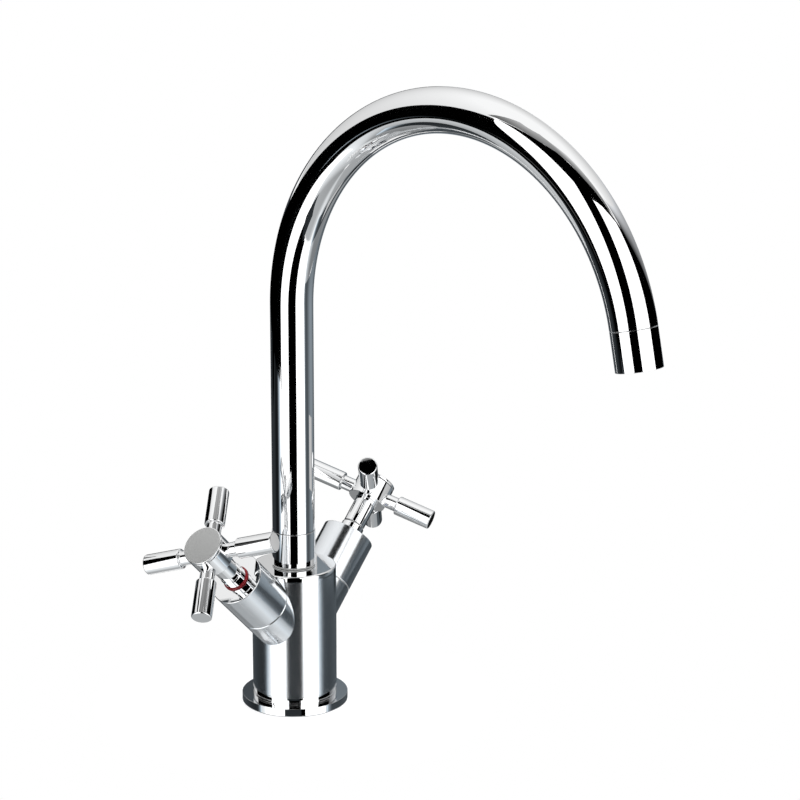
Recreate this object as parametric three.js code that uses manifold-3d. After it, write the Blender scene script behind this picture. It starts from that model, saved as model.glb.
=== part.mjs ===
// Two-handle kitchen mixer tap with a swan-neck spout, as an assembly of separate pieces.
// Millimetres, +Z up. The origin is the centre of the base flange's underside, on the sink deck.
// The spout reaches towards -Y. The hot valve leans towards -X and the cold valve towards +X.

import * as THREE from "three";
import { mergeVertices } from "three/addons/utils/BufferGeometryUtils.js";
import Module from "manifold-3d";

const wasm = await Module();
wasm.setup();

// ---------------------------------------------------------------- driving dimensions

// Fits
const seatGap = 0.3; // between pieces that bear on each other or are screwed together
const overcut = 1; // how far a cutting shape runs past the face that it opens

// Base flange and its seal
const flangeRadius = 31.5;
const flangeThickness = 5;
const flangeChamfer = 0.6;
const collarRadius = 24.5;
const collarHeight = 4;
const collarFootHeight = 1.2;
const sealInnerRadius = 21.5;
const sealWidth = 4.5;
const sealThickness = 1.6;

// Mixer body
const bodyRadius = 25;
const bodyTop = 84.5;
const bodyEdgeRadius = 1.2;
const bodyFootChamfer = 0.4;
const footRadius = 17;
const inletRadius = 5;
const inletDepth = 14;
const inletOffset = 8.5;
const waterwayRadius = 3.6;
const studRadius = 4;
const studDepth = 16;
const studOffset = 11;

// Valves: places on a valve's axis are measured from where it crosses the body's axis
const valveTilt = 44; // degrees above the deck
const valveCrossingHeight = 39.4;
const bossFace = 40;
const pocketRadius = 10;
const pocketFloor = 12;
const sleeveRadius = 16;
const sleeveWall = 1.6;
const sleeveFace = 72;
const sleeveFaceThickness = 1.8;
const sleeveChamfer = 0.5;

// Cartridge, from the seat outwards
const seatSealThickness = 1.8;
const seatSealBore = 4.6;
const discThickness = 2.2;
const discRadius = 8.2;
const discWindowAngle = 80; // degrees
const discWindowInner = 2.4;
const discWindowOuter = 6.6;
const barrelRadius = 9.6;
const portWidth = 7;
const portLength = 3;
const nutAcrossFlats = 20;
const nutThickness = 6;
const neckRadius = 5.5;
const neckTop = 77.8;
const bonnetRadius = 7;
const bonnetHeight = 5.8;
const bonnetChamfer = 0.7;
const indexRingRadius = 7.8;
const indexRingThickness = 0.5;
const spindleRadius = 4.1;
const spindleFootThickness = 3;
const footSlotDepth = 2;
const spindleTop = 99.5;
const spindleRingSection = 1.4; // thickness of its rubber ring
const spindleRingPlace = 52;
const clipThickness = 0.7;
const clipRadius = 5.5;
const clipGrooveDepth = 0.8;

// Cross handles
const handleShankRadius = 6.6;
const hubRadius = 11.8;
const hubBack = 96.5;
const hubFace = 111.5;
const capThickness = 1.7;
const capChamfer = 0.4;
const capStubRadius = 5.4;
const capStubLength = 3;
const armPlane = 102;
const armCount = 4;
const armTip = 41.5;
const armRadius = 5.85;
const armShoulder = 18.5;
const armNeckRadius = 4.25;
const armRoot = 7.6;
const armChamfer = 0.7;
const screwRadius = 2;
const screwHeadRadius = 3.8;
const screwHeadHeight = 2.6;
const screwLength = 14;
const screwSeat = 102; // place of the seat under the screw's head
const hotHandleTurn = 23; // degrees, as the handles stand with the valves shut
const coldHandleTurn = 26;

// Swan-neck spout
const spoutTurn = -5.4; // degrees from straight ahead, as the spout stands
const tubeRadius = 12.5;
const tubeWall = 1.2;
const archStart = 241; // height at which the straight leg turns into the arch
const archRadius = 124;
const archSweep = 168; // degrees
const hubSleeveRadius = 12.8;
const hubSleeveTop = 106;
const hubSpigotLength = 8;
const swivelWasherThickness = 0.5;
const tailRadius = 9.6;
const tailLength = 17;
const tailBore = 6;
const tailRingSection = 2;
const tailRingInset = 4; // first rubber ring's middle, from the tail's end
const tailRingSpacing = 5;
const retainerThickness = 1.2;
const retainerInset = 13.5; // retaining ring's middle, from the tail's end
const retainerReach = 1.1; // depth of its groove in the body
const retainerGrooveDepth = 1.6; // in the tail
const retainerSlot = 6; // width of the opening in the retaining ring
const socketFloorDepth = 18.5;
const mixingChamberRadius = 4;
const mixingChamberDepth = 12;

// Outlet
const outletLength = 21.5;
const outletSpigotLength = 4;
const outletSpigotPlay = 0.5; // round the straight spigot in the bent tube
const outletWall = 1.3;
const outletMouthDepth = 1.2; // the insert stands back this far from the rim
const insertHeight = 8;
const insertFloor = 1.6;
const insertWall = 1;
const outletSealThickness = 1.5;
const screenThickness = 0.8;
const nozzleHoleRadius = 1.1;
const nozzleHoleMargin = 0.4; // between the outer holes and the cup's wall
const nozzleRings = 2; // rings of holes round the middle one

// Facets
const bodySides = 32;
const roundSides = 20;
const smallSides = 14;
const armSides = 12;
const tubeSides = 20;
const archSteps = 21;
const holeSides = 6;
const ringSides = 5; // round the section of a rubber ring
const hexagon = 6;

// ---------------------------------------------------------------- finishes

function finish(color, roughness, metalness) {
  return new THREE.MeshStandardMaterial({ color, roughness, metalness });
}

const satinChrome = finish(0xc9ccd0, 0.22, 1);
const mirrorChrome = finish(0xd8dadd, 0.05, 1);
const rawBrass = finish(0xb8954f, 0.35, 1);
const springSteel = finish(0x9a9da1, 0.3, 1);
const ceramic = finish(0xf1efe8, 0.25, 0);
const blackRubber = finish(0x1c1c1d, 0.8, 0);
const whitePlastic = finish(0xe9e8e4, 0.45, 0);
const hotRed = finish(0x9c1b26, 0.4, 0);
const coldBlue = finish(0x1c4f9c, 0.4, 0);

// ---------------------------------------------------------------- making solids

const radians = THREE.MathUtils.degToRad;
const UP = new THREE.Vector3(0, 0, 1);

// A closed three.js geometry as a solid that can be joined and cut.
function toSolid(geometry) {
  const bare = geometry.clone();
  bare.deleteAttribute("normal");
  bare.deleteAttribute("uv");
  const merged = mergeVertices(bare);
  const corners = Array.from(merged.index.array);
  const triangles = [];
  for (let i = 0; i < corners.length; i += 3) {
    const [a, b, c] = corners.slice(i, i + 3);
    if (a !== b && b !== c && c !== a) triangles.push(a, b, c);
  }
  const vertProperties = Float32Array.from(merged.attributes.position.array);
  if (signedVolume(vertProperties, triangles) < 0) triangles.reverse();
  const triVerts = Uint32Array.from(triangles);
  return new wasm.Manifold(new wasm.Mesh({ numProp: 3, vertProperties, triVerts }));
}

function signedVolume(positions, triangles) {
  const corner = (i) => new THREE.Vector3().fromArray(positions, 3 * triangles[i]);
  let sum = 0;
  for (let i = 0; i < triangles.length; i += 3) {
    sum += corner(i).dot(corner(i + 1).cross(corner(i + 2)));
  }
  return sum / 6;
}

function toGeometry(solid) {
  const mesh = solid.getMesh();
  const geometry = new THREE.BufferGeometry();
  geometry.setAttribute("position", new THREE.BufferAttribute(mesh.vertProperties, 3));
  geometry.setIndex(new THREE.BufferAttribute(mesh.triVerts, 1));
  geometry.computeVertexNormals();
  return geometry;
}

// A turned solid about Z. The outline is a list of [radius, height] points; one that doesn't
// start and end on the axis is closed on itself, which leaves a bore.
function turned(outline, sides = roundSides) {
  const points = outline.map(([radius, height]) => new THREE.Vector2(radius, height));
  const onAxis = points[0].x === 0 && points[points.length - 1].x === 0;
  if (!onAxis) points.push(points[0].clone());
  const lathe = new THREE.LatheGeometry(points, sides);
  lathe.rotateX(Math.PI / 2);
  return toSolid(lathe);
}

const rod = (radius, from, to, sides = roundSides) =>
  turned([[0, from], [radius, from], [radius, to], [0, to]], sides);

const washer = (inner, outer, from, to, sides = roundSides) =>
  turned([[inner, from], [outer, from], [outer, to], [inner, to]], sides);

function block(width, depth, height) {
  return toSolid(new THREE.BoxGeometry(width, depth, height));
}

function moved(solid, x, y, z) {
  return solid.translate([x, y, z]);
}

// The same solid repeated round Z.
function aroundAxis(solid, count, startAngle = 0) {
  const copies = [];
  for (let i = 0; i < count; i += 1) {
    copies.push(solid.rotate([0, 0, startAngle + (360 * i) / count]));
  }
  return copies;
}

const cutAll = (solid, cutters) => cutters.reduce((left, cutter) => left.subtract(cutter), solid);

// ---------------------------------------------------------------- sizes that follow from others

const collarTop = flangeThickness + collarHeight;
const bodyBottom = collarTop + seatGap;
const footSleeve = footRadius + seatGap;
const socketRadius = tailRadius + seatGap;
const socketFloor = bodyTop - socketFloorDepth;
const washerBottom = bodyTop + seatGap;
const hubBottom = washerBottom + swivelWasherThickness + seatGap;
const tailEnd = hubBottom - tailLength;
const boreInTube = tubeRadius - tubeWall;

const sleeveFaceBack = sleeveFace - sleeveFaceThickness;
const sleeveTail = bossFace + seatGap;
const ringBottom = sleeveFace + seatGap;
const bonnetBottom = ringBottom + indexRingThickness + seatGap;
const bonnetTop = bonnetBottom + bonnetHeight;
const seatDiscBottom = pocketFloor + seatGap + seatSealThickness + seatGap;
const controlDiscBottom = seatDiscBottom + discThickness + seatGap;
const spindleFoot = controlDiscBottom + discThickness + seatGap;
const spindleFootTop = spindleFoot + spindleFootThickness;
const cartridgeCavityTop = spindleFootTop + seatGap;
const spindleBore = spindleRadius + seatGap;
const capBottom = hubFace - capThickness;
const hubTop = capBottom - seatGap;

// ---------------------------------------------------------------- base

// The polished ring under the body, with a collar that the body stands on.
function baseFlange() {
  const ring = turned([
    [footSleeve, 0],
    [flangeRadius - flangeChamfer, 0],
    [flangeRadius, flangeChamfer],
    [flangeRadius, flangeThickness - flangeChamfer],
    [flangeRadius - flangeChamfer, flangeThickness],
    [collarRadius + seatGap, flangeThickness],
    [collarRadius + seatGap, flangeThickness + collarFootHeight],
    [collarRadius, flangeThickness + collarFootHeight],
    [collarRadius, collarTop],
    [footSleeve, collarTop],
  ], bodySides);
  const grooveInner = sealInnerRadius - seatGap;
  const grooveOuter = sealInnerRadius + sealWidth + seatGap;
  return ring.subtract(washer(grooveInner, grooveOuter, -overcut, sealThickness + seatGap));
}

function deckSeal() {
  return washer(sealInnerRadius, sealInnerRadius + sealWidth, 0, sealThickness);
}

// A valve's own frame: +Z runs out along its axis, side is -1 for hot and +1 for cold.
const valveLean = (side) => side * (90 - valveTilt);

function alongValve(solid, side) {
  return moved(solid.rotate([0, valveLean(side), 0]), 0, 0, valveCrossingHeight);
}

// The cast body: a round column with two leaning bosses, bored for the valves and the spout.
function mixerBody() {
  const column = turned([
    [0, 0],
    [footRadius, 0],
    [footRadius, bodyBottom],
    [bodyRadius - bodyFootChamfer, bodyBottom],
    [bodyRadius, bodyBottom + bodyFootChamfer],
    ...roundedEdge(bodyRadius, bodyTop, bodyEdgeRadius),
    [0, bodyTop],
  ], bodySides);
  let body = column;
  for (const side of [-1, 1]) {
    body = body.add(alongValve(rod(sleeveRadius, 0, bossFace), side));
  }
  for (const side of [-1, 1]) {
    // The spot face lets the sleeve stand into the column down to the boss's face.
    const spotFace = rod(sleeveRadius + seatGap, bossFace, sleeveFace);
    const pocket = rod(pocketRadius, pocketFloor, bossFace + overcut);
    const inletX = side * inletOffset;
    const seatBoreEnd = inletCrossing() - 2 * waterwayRadius;
    const seatBore = rod(waterwayRadius, seatBoreEnd, pocketFloor + overcut, smallSides);
    const riser = rod(waterwayRadius, inletDepth - overcut, inletTop(), smallSides);
    const socket = rod(inletRadius, -overcut, inletDepth, smallSides);
    body = cutAll(body, [
      alongValve(spotFace, side),
      alongValve(pocket, side),
      alongValve(seatBore, side),
      moved(riser, inletX, 0, 0),
      moved(socket, inletX, 0, 0),
    ]);
  }
  const spoutSocket = rod(socketRadius, socketFloor, bodyTop + overcut);
  const chamberFloor = socketFloor - mixingChamberDepth;
  const mixingChamber = rod(mixingChamberRadius, chamberFloor, socketFloor + overcut, smallSides);
  const studSocket = moved(rod(studRadius, -overcut, studDepth, smallSides), 0, studOffset, 0);
  return cutAll(body, [spoutSocket, mixingChamber, retainerGroove(), studSocket]);
}

// Where a valve's axis passes over its inlet, along the axis and as a height.
const inletCrossing = () => inletOffset / Math.cos(radians(valveTilt));
const inletTop = () => valveCrossingHeight + inletOffset * Math.tan(radians(valveTilt));

// The points of a rounded outer top edge, from the side up to the top.
function roundedEdge(radius, top, edge, steps = 3) {
  const points = [];
  for (let i = 0; i <= steps; i += 1) {
    const angle = (i / steps) * (Math.PI / 2);
    points.push([radius - edge + edge * Math.cos(angle), top - edge + edge * Math.sin(angle)]);
  }
  return points;
}

// ---------------------------------------------------------------- spout

const retainerMiddle = tailEnd + retainerInset;

function retainerGroove() {
  const halfHeight = retainerThickness / 2 + seatGap;
  const outer = socketRadius + retainerReach;
  return washer(socketRadius - overcut, outer, retainerMiddle - halfHeight, retainerMiddle + halfHeight);
}

const tailRingPlaces = [tailEnd + tailRingInset, tailEnd + tailRingInset + tailRingSpacing];

// The turned foot of the spout: a sleeve outside, a spigot up into the tube, and a tail with
// grooves for two rubber rings and the retaining ring.
function spoutFoot() {
  const spigotRadius = boreInTube - seatGap;
  const foot = turned([
    [tailBore, tailEnd],
    [tailRadius, tailEnd],
    [tailRadius, hubBottom],
    [hubSleeveRadius, hubBottom],
    [hubSleeveRadius, hubSleeveTop],
    [spigotRadius, hubSleeveTop],
    [spigotRadius, hubSleeveTop + hubSpigotLength],
    [tailBore, hubSleeveTop + hubSpigotLength],
  ]);
  const ringGroove = washer(
    tailRadius - tailRingSection,
    tailRadius + overcut,
    -tailRingSection / 2 - seatGap,
    tailRingSection / 2 + seatGap,
  );
  const clipGroove = washer(
    tailRadius - retainerGrooveDepth,
    tailRadius + overcut,
    -retainerThickness / 2 - seatGap,
    retainerThickness / 2 + seatGap,
  );
  const ringGrooves = tailRingPlaces.map((place) => moved(ringGroove, 0, 0, place));
  return cutAll(foot, [...ringGrooves, moved(clipGroove, 0, 0, retainerMiddle)]);
}

function tailRing(place) {
  const middle = tailRadius - tailRingSection / 2 + seatGap / 2;
  return moved(rubberRing(middle, tailRingSection / 2), 0, 0, place);
}

// A rubber ring of round section, lying flat about Z.
function rubberRing(ringRadius, sectionRadius, sides = ringSides) {
  const outline = [];
  for (let i = 0; i < sides; i += 1) {
    const angle = (2 * Math.PI * i) / sides;
    outline.push([ringRadius + sectionRadius * Math.cos(angle), sectionRadius * Math.sin(angle)]);
  }
  return turned(outline, smallSides);
}

// The open spring ring that keeps the tail in its socket.
function spoutRetainer() {
  const inner = tailRadius - retainerGrooveDepth + seatGap;
  const outer = socketRadius + retainerReach - seatGap;
  const ring = washer(inner, outer, -retainerThickness / 2, retainerThickness / 2, smallSides);
  const opening = moved(block(2 * outer, retainerSlot, 2 * retainerThickness), outer, 0, 0);
  return moved(ring.subtract(opening), 0, 0, retainerMiddle);
}

function swivelWasher() {
  const inner = socketRadius + seatGap;
  const outer = hubSleeveRadius - seatGap;
  return washer(inner, outer, washerBottom, washerBottom + swivelWasherThickness);
}

// The centre line of the tube: up the straight leg in one step, then round the arch in equal
// steps, so that every ring of the skin lies square to it.
class SwanNeck extends THREE.Curve {
  constructor(from) {
    super();
    this.from = from;
    this.steps = archSteps + 1;
  }

  getPointAt(u, target = new THREE.Vector3()) {
    const station = u * this.steps;
    if (station < 1) {
      return target.set(0, 0, THREE.MathUtils.lerp(this.from, archStart, station));
    }
    const angle = this.angleAt(station);
    return target.set(0, -archRadius * (1 - Math.cos(angle)), archStart + archRadius * Math.sin(angle));
  }

  getTangentAt(u, target = new THREE.Vector3()) {
    const angle = this.angleAt(Math.max(u * this.steps, 1));
    return target.set(0, -Math.sin(angle), Math.cos(angle));
  }

  getSpacedPoints(steps) {
    return Array.from({ length: steps + 1 }, (_, i) => this.getPointAt(i / steps));
  }

  angleAt(station) {
    return (radians(archSweep) * (station - 1)) / archSteps;
  }
}

function roundShape(radius) {
  return new THREE.Shape().absarc(0, 0, radius, 0, 2 * Math.PI, false);
}

function spoutTube() {
  const section = roundShape(tubeRadius);
  section.holes.push(new THREE.Path().absarc(0, 0, boreInTube, 0, 2 * Math.PI, true));
  const path = new SwanNeck(hubSleeveTop + seatGap);
  const sweep = { steps: path.steps, curveSegments: tubeSides / 2, extrudePath: path };
  return toSolid(new THREE.ExtrudeGeometry(section, sweep));
}

// ---------------------------------------------------------------- outlet
// The outlet's pieces are turned about Z, with +Z out of the mouth and 0 at the tube's end.

const outletBore = tubeRadius - outletWall;
const outletSpigotRadius = boreInTube - outletSpigotPlay;
const insertOuter = outletBore - seatGap;
const insertEnd = outletLength - outletMouthDepth;
const insertStart = insertEnd - insertHeight;

function outletSleeve() {
  const spigotBore = outletSpigotRadius - outletWall;
  return turned([
    [spigotBore, -outletSpigotLength],
    [outletSpigotRadius, -outletSpigotLength],
    [outletSpigotRadius, seatGap],
    [tubeRadius, seatGap],
    [tubeRadius, outletLength],
    [outletBore, outletLength],
    [outletBore, outletShoulder()],
    [spigotBore, outletShoulder()],
  ]);
}

// The inner shoulder that the rubber washer and the insert are pushed up against.
function outletShoulder() {
  return insertStart - screenThickness - outletSealThickness - 3 * seatGap;
}

function outletSeal() {
  const start = outletShoulder() + seatGap;
  const inner = outletSpigotRadius - outletWall - overcut;
  return washer(inner, insertOuter, start, start + outletSealThickness, smallSides);
}

// A drilled disc that catches grit above the insert.
function outletScreen() {
  const start = insertStart - screenThickness - seatGap;
  const disc = rod(insertOuter, start, start + screenThickness, smallSides);
  return cutAll(disc, nozzleHoles(start, start + screenThickness));
}

function nozzleHoles(from, to) {
  const hole = rod(nozzleHoleRadius, from - overcut, to + overcut, holeSides);
  const outerRing = insertOuter - insertWall - nozzleHoleMargin - nozzleHoleRadius;
  const pitch = outerRing / nozzleRings;
  const holes = [hole];
  for (let ring = 1; ring <= nozzleRings; ring += 1) {
    holes.push(...aroundAxis(moved(hole, ring * pitch, 0, 0), 6 * ring));
  }
  return holes;
}

// The cup whose drilled floor breaks the flow into a soft jet.
function outletInsert() {
  const cup = turned(
    [
      [0, insertEnd - insertFloor],
      [insertOuter - insertWall, insertEnd - insertFloor],
      [insertOuter - insertWall, insertStart],
      [insertOuter, insertStart],
      [insertOuter, insertEnd],
      [0, insertEnd],
    ],
    smallSides,
  );
  return cutAll(cup, nozzleHoles(insertEnd - insertFloor, insertEnd));
}

// ---------------------------------------------------------------- valve, in its own frame

// The outer sleeve: a turned cup whose flat polished end carries the ring and the nut.
function valveSleeve() {
  const bore = sleeveRadius - sleeveWall;
  return turned([
    [bore, sleeveTail],
    [sleeveRadius, sleeveTail],
    [sleeveRadius, sleeveFace - sleeveChamfer],
    [sleeveRadius - sleeveChamfer, sleeveFace],
    [neckRadius + seatGap, sleeveFace],
    [neckRadius + seatGap, sleeveFaceBack],
    [bore, sleeveFaceBack],
  ]);
}

function indexRing() {
  const top = ringBottom + indexRingThickness;
  return washer(neckRadius + seatGap, indexRingRadius, ringBottom, top, smallSides);
}

// The chromed nut that clamps the sleeve down over the cartridge's neck.
function bonnetNut() {
  return turned(
    [
      [neckRadius + seatGap, bonnetBottom],
      [bonnetRadius, bonnetBottom],
      [bonnetRadius, bonnetTop - bonnetChamfer],
      [bonnetRadius - bonnetChamfer, bonnetTop],
      [neckRadius + seatGap, bonnetTop],
    ],
    smallSides,
  );
}

function seatSeal() {
  const bottom = pocketFloor + seatGap;
  return washer(seatSealBore, barrelRadius, bottom, bottom + seatSealThickness, smallSides);
}

// The brass headwork: a ported barrel in the pocket, a six-sided head on the boss and a neck.
function cartridgeBody() {
  const headBottom = bossFace + seatGap;
  const headTop = headBottom + nutThickness;
  const headRadius = nutAcrossFlats / 2 / Math.cos(Math.PI / 6);
  const barrel = rod(barrelRadius, seatDiscBottom, headBottom + nutThickness / 2, smallSides);
  const head = rod(headRadius, headBottom, headTop, hexagon);
  const neck = rod(neckRadius, headBottom + nutThickness / 2, neckTop, smallSides);
  const cavity = turned(
    [
      [0, seatDiscBottom - overcut],
      [discRadius + seatGap, seatDiscBottom - overcut],
      [discRadius + seatGap, cartridgeCavityTop],
      [spindleBore, cartridgeCavityTop],
      [spindleBore, neckTop + overcut],
      [0, neckTop + overcut],
    ],
    smallSides,
  );
  const portBar = block(2 * barrelRadius + overcut, portWidth, portLength);
  const port = moved(portBar, 0, 0, spindleFoot + portLength / 2);
  return cutAll(barrel.add(head).add(neck), [cavity, port]);
}

// A ceramic disc with two opposite windows.
function ceramicDisc(from, startAngle) {
  const disc = rod(discRadius, from, from + discThickness, smallSides);
  const window = windowSector(from - overcut, from + discThickness + overcut);
  return cutAll(disc, aroundAxis(window, 2, startAngle));
}

function windowSector(from, to) {
  const half = radians(discWindowAngle / 2);
  const shape = new THREE.Shape();
  shape.absarc(0, 0, discWindowOuter, -half, half, false);
  shape.absarc(0, 0, discWindowInner, half, -half, true);
  shape.closePath();
  const straight = { depth: to - from, bevelEnabled: false, curveSegments: 3 };
  const sector = new THREE.ExtrudeGeometry(shape, straight);
  sector.translate(0, 0, from);
  return toSolid(sector);
}

// The spindle: a slotted foot that turns the control disc, a groove for a rubber ring, a groove
// for the clip, and an end that is tapped for the handle's screw.
function spindle(windowAngle) {
  const grooveHalf = spindleRingSection / 2 + seatGap;
  const grooveFloor = spindleRadius - spindleRingSection;
  const clipLow = clipBottom - seatGap;
  const clipHigh = clipBottom + clipThickness + seatGap;
  const shaft = turned(
    [
      [0, spindleFoot],
      [discRadius - seatGap, spindleFoot],
      [discRadius - seatGap, spindleFootTop],
      [spindleRadius, spindleFootTop],
      [spindleRadius, spindleRingPlace - grooveHalf],
      [grooveFloor, spindleRingPlace - grooveHalf],
      [grooveFloor, spindleRingPlace + grooveHalf],
      [spindleRadius, spindleRingPlace + grooveHalf],
      [spindleRadius, clipLow],
      [clipGrooveFloor, clipLow],
      [clipGrooveFloor, clipHigh],
      [spindleRadius, clipHigh],
      [spindleRadius, spindleTop],
      [0, spindleTop],
    ],
    smallSides,
  );
  const tappingBottom = screwSeat - screwLength - seatGap;
  const tapping = rod(screwRadius + seatGap, tappingBottom, spindleTop + overcut, smallSides);
  const slot = windowSector(spindleFoot - overcut, spindleFoot + footSlotDepth);
  return cutAll(shaft, [tapping, ...aroundAxis(slot, 2, windowAngle)]);
}

const clipBottom = neckTop + seatGap;
const clipGrooveFloor = spindleRadius - clipGrooveDepth;

function spindleRubberRing() {
  const middle = spindleRadius - spindleRingSection / 2 + seatGap / 3;
  return moved(rubberRing(middle, spindleRingSection / 2 - seatGap / 3), 0, 0, spindleRingPlace);
}

function spindleClip() {
  const ring = washer(clipGrooveFloor + seatGap, clipRadius, 0, clipThickness, smallSides);
  const gate = block(2 * clipRadius, 2 * clipGrooveFloor, 4 * clipThickness);
  const opening = moved(gate, clipRadius, 0, 0);
  return moved(ring.subtract(opening), 0, 0, clipBottom);
}

// ---------------------------------------------------------------- cross handle, valve frame

// The hub with its long shank, bored for the spindle, the screw and the four arms.
function handleHub() {
  const shankBottom = bonnetTop + seatGap;
  const hub = turned([
    [0, shankBottom],
    [handleShankRadius, shankBottom],
    [handleShankRadius, hubBack],
    [hubRadius - capChamfer, hubBack],
    [hubRadius, hubBack + capChamfer],
    [hubRadius, hubTop],
    [0, hubTop],
  ]);
  const spindleHole = rod(spindleBore, shankBottom - overcut, spindleTop + seatGap, smallSides);
  const clipTop = clipBottom + clipThickness + seatGap;
  const clipRoom = rod(clipRadius + seatGap, shankBottom - overcut, clipTop, smallSides);
  const screwHole = rod(screwRadius + seatGap, spindleTop, screwSeat + overcut, smallSides);
  const counterbore = rod(capStubRadius + seatGap, screwSeat, hubTop + overcut, smallSides);
  const armBore = rod(armNeckRadius + seatGap, armRoot - seatGap, hubRadius + overcut, armSides);
  const armHoles = aroundAxis(sideways(armBore), armCount);
  return cutAll(hub, [spindleHole, clipRoom, screwHole, counterbore, ...armHoles]);
}

// Lays a solid made along Z out along +X, at the height of the arms.
function sideways(solid) {
  return moved(solid.rotate([0, 90, 0]), 0, 0, armPlane);
}

function handleArm(index) {
  const bar = turned(
    [
      [0, armRoot],
      [armNeckRadius, armRoot],
      [armNeckRadius, armShoulder],
      [armRadius - armChamfer, armShoulder],
      [armRadius, armShoulder + armChamfer],
      [armRadius, armTip - armChamfer],
      [armRadius - armChamfer, armTip],
      [0, armTip],
    ],
    armSides,
  );
  return sideways(bar).rotate([0, 0, (360 * index) / armCount]);
}

function handleScrew() {
  const headBottom = screwSeat + seatGap;
  const head = rod(screwHeadRadius, headBottom, headBottom + screwHeadHeight, smallSides);
  const shank = rod(screwRadius, screwSeat - screwLength, headBottom + overcut, smallSides);
  const socketDepth = screwHeadHeight / 2;
  const socketFrom = headBottom + screwHeadHeight - socketDepth;
  const socketTo = headBottom + screwHeadHeight + overcut;
  const socket = rod(screwHeadRadius / 2, socketFrom, socketTo, hexagon);
  return head.add(shank).subtract(socket);
}

function handleCap() {
  return turned([
    [0, capBottom - capStubLength],
    [capStubRadius, capBottom - capStubLength],
    [capStubRadius, capBottom],
    [hubRadius, capBottom],
    [hubRadius, hubFace - capChamfer],
    [hubRadius - capChamfer, hubFace],
    [0, hubFace],
  ]);
}

// ---------------------------------------------------------------- assembly

const faucet = new THREE.Group();

function addPiece(group, name, solid, material) {
  const mesh = new THREE.Mesh(toGeometry(solid), material);
  mesh.name = name;
  group.add(mesh);
}

addPiece(faucet, "base_flange", baseFlange(), mirrorChrome);
addPiece(faucet, "deck_seal", deckSeal(), blackRubber);
addPiece(faucet, "mixer_body", mixerBody(), satinChrome);

const spout = new THREE.Group();
spout.quaternion.setFromAxisAngle(UP, radians(spoutTurn));
faucet.add(spout);
addPiece(spout, "spout_foot", spoutFoot(), mirrorChrome);
addPiece(spout, "spout_tube", spoutTube(), mirrorChrome);
addPiece(spout, "spout_retaining_ring", spoutRetainer(), springSteel);
addPiece(spout, "swivel_washer", swivelWasher(), whitePlastic);
tailRingPlaces.forEach((place, i) => {
  addPiece(spout, `spout_rubber_ring_${i + 1}`, tailRing(place), blackRubber);
});

const outlet = new THREE.Group();
const neckEnd = new SwanNeck(hubSleeveTop);
outlet.position.copy(neckEnd.getPointAt(1));
outlet.quaternion.setFromUnitVectors(UP, neckEnd.getTangentAt(1));
spout.add(outlet);
addPiece(outlet, "outlet_sleeve", outletSleeve(), mirrorChrome);
addPiece(outlet, "outlet_seal", outletSeal(), blackRubber);
addPiece(outlet, "outlet_screen", outletScreen(), springSteel);
addPiece(outlet, "outlet_insert", outletInsert(), whitePlastic);

const valves = [
  { name: "hot", side: -1, turn: hotHandleTurn, colour: hotRed },
  { name: "cold", side: 1, turn: coldHandleTurn, colour: coldBlue },
];

for (const { name, side, turn, colour } of valves) {
  const valve = new THREE.Group();
  valve.position.z = valveCrossingHeight;
  valve.rotation.y = radians(valveLean(side));
  faucet.add(valve);
  addPiece(valve, `${name}_valve_sleeve`, valveSleeve(), satinChrome);
  addPiece(valve, `${name}_index_ring`, indexRing(), colour);
  addPiece(valve, `${name}_bonnet_nut`, bonnetNut(), mirrorChrome);
  addPiece(valve, `${name}_cartridge_body`, cartridgeBody(), rawBrass);
  addPiece(valve, `${name}_seat_seal`, seatSeal(), blackRubber);
  addPiece(valve, `${name}_seat_disc`, ceramicDisc(seatDiscBottom, 0), ceramic);

  const handle = new THREE.Group();
  handle.rotation.z = radians(turn);
  valve.add(handle);
  // Shut, the control disc's windows stand square to those of the seat disc.
  const shutAngle = 90 - turn;
  addPiece(handle, `${name}_control_disc`, ceramicDisc(controlDiscBottom, shutAngle), ceramic);
  addPiece(handle, `${name}_spindle`, spindle(shutAngle), rawBrass);
  addPiece(handle, `${name}_spindle_rubber_ring`, spindleRubberRing(), blackRubber);
  addPiece(handle, `${name}_spindle_clip`, spindleClip(), springSteel);
  addPiece(handle, `${name}_handle_hub`, handleHub(), mirrorChrome);
  for (let i = 0; i < armCount; i += 1) {
    addPiece(handle, `${name}_handle_arm_${i + 1}`, handleArm(i), mirrorChrome);
  }
  addPiece(handle, `${name}_handle_screw`, handleScrew(), springSteel);
  addPiece(handle, `${name}_handle_cap`, handleCap(), satinChrome);
}

export default faucet;
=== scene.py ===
# %% [markdown]
# A two-handle kitchen tap in polished and satin chrome, dressed for a product picture.
#
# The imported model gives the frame: where every piece is and how it moves. It is made of flat
# facets, and a mirror finish shows every one of them, so the pieces that can be seen are made
# again here with fine, smooth surfaces in the same places and sizes. The inner pieces keep their
# own shapes and only get a finish.

# %% Load the frame
import math

import bmesh
import bpy
from mathutils import Matrix, Vector


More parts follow.
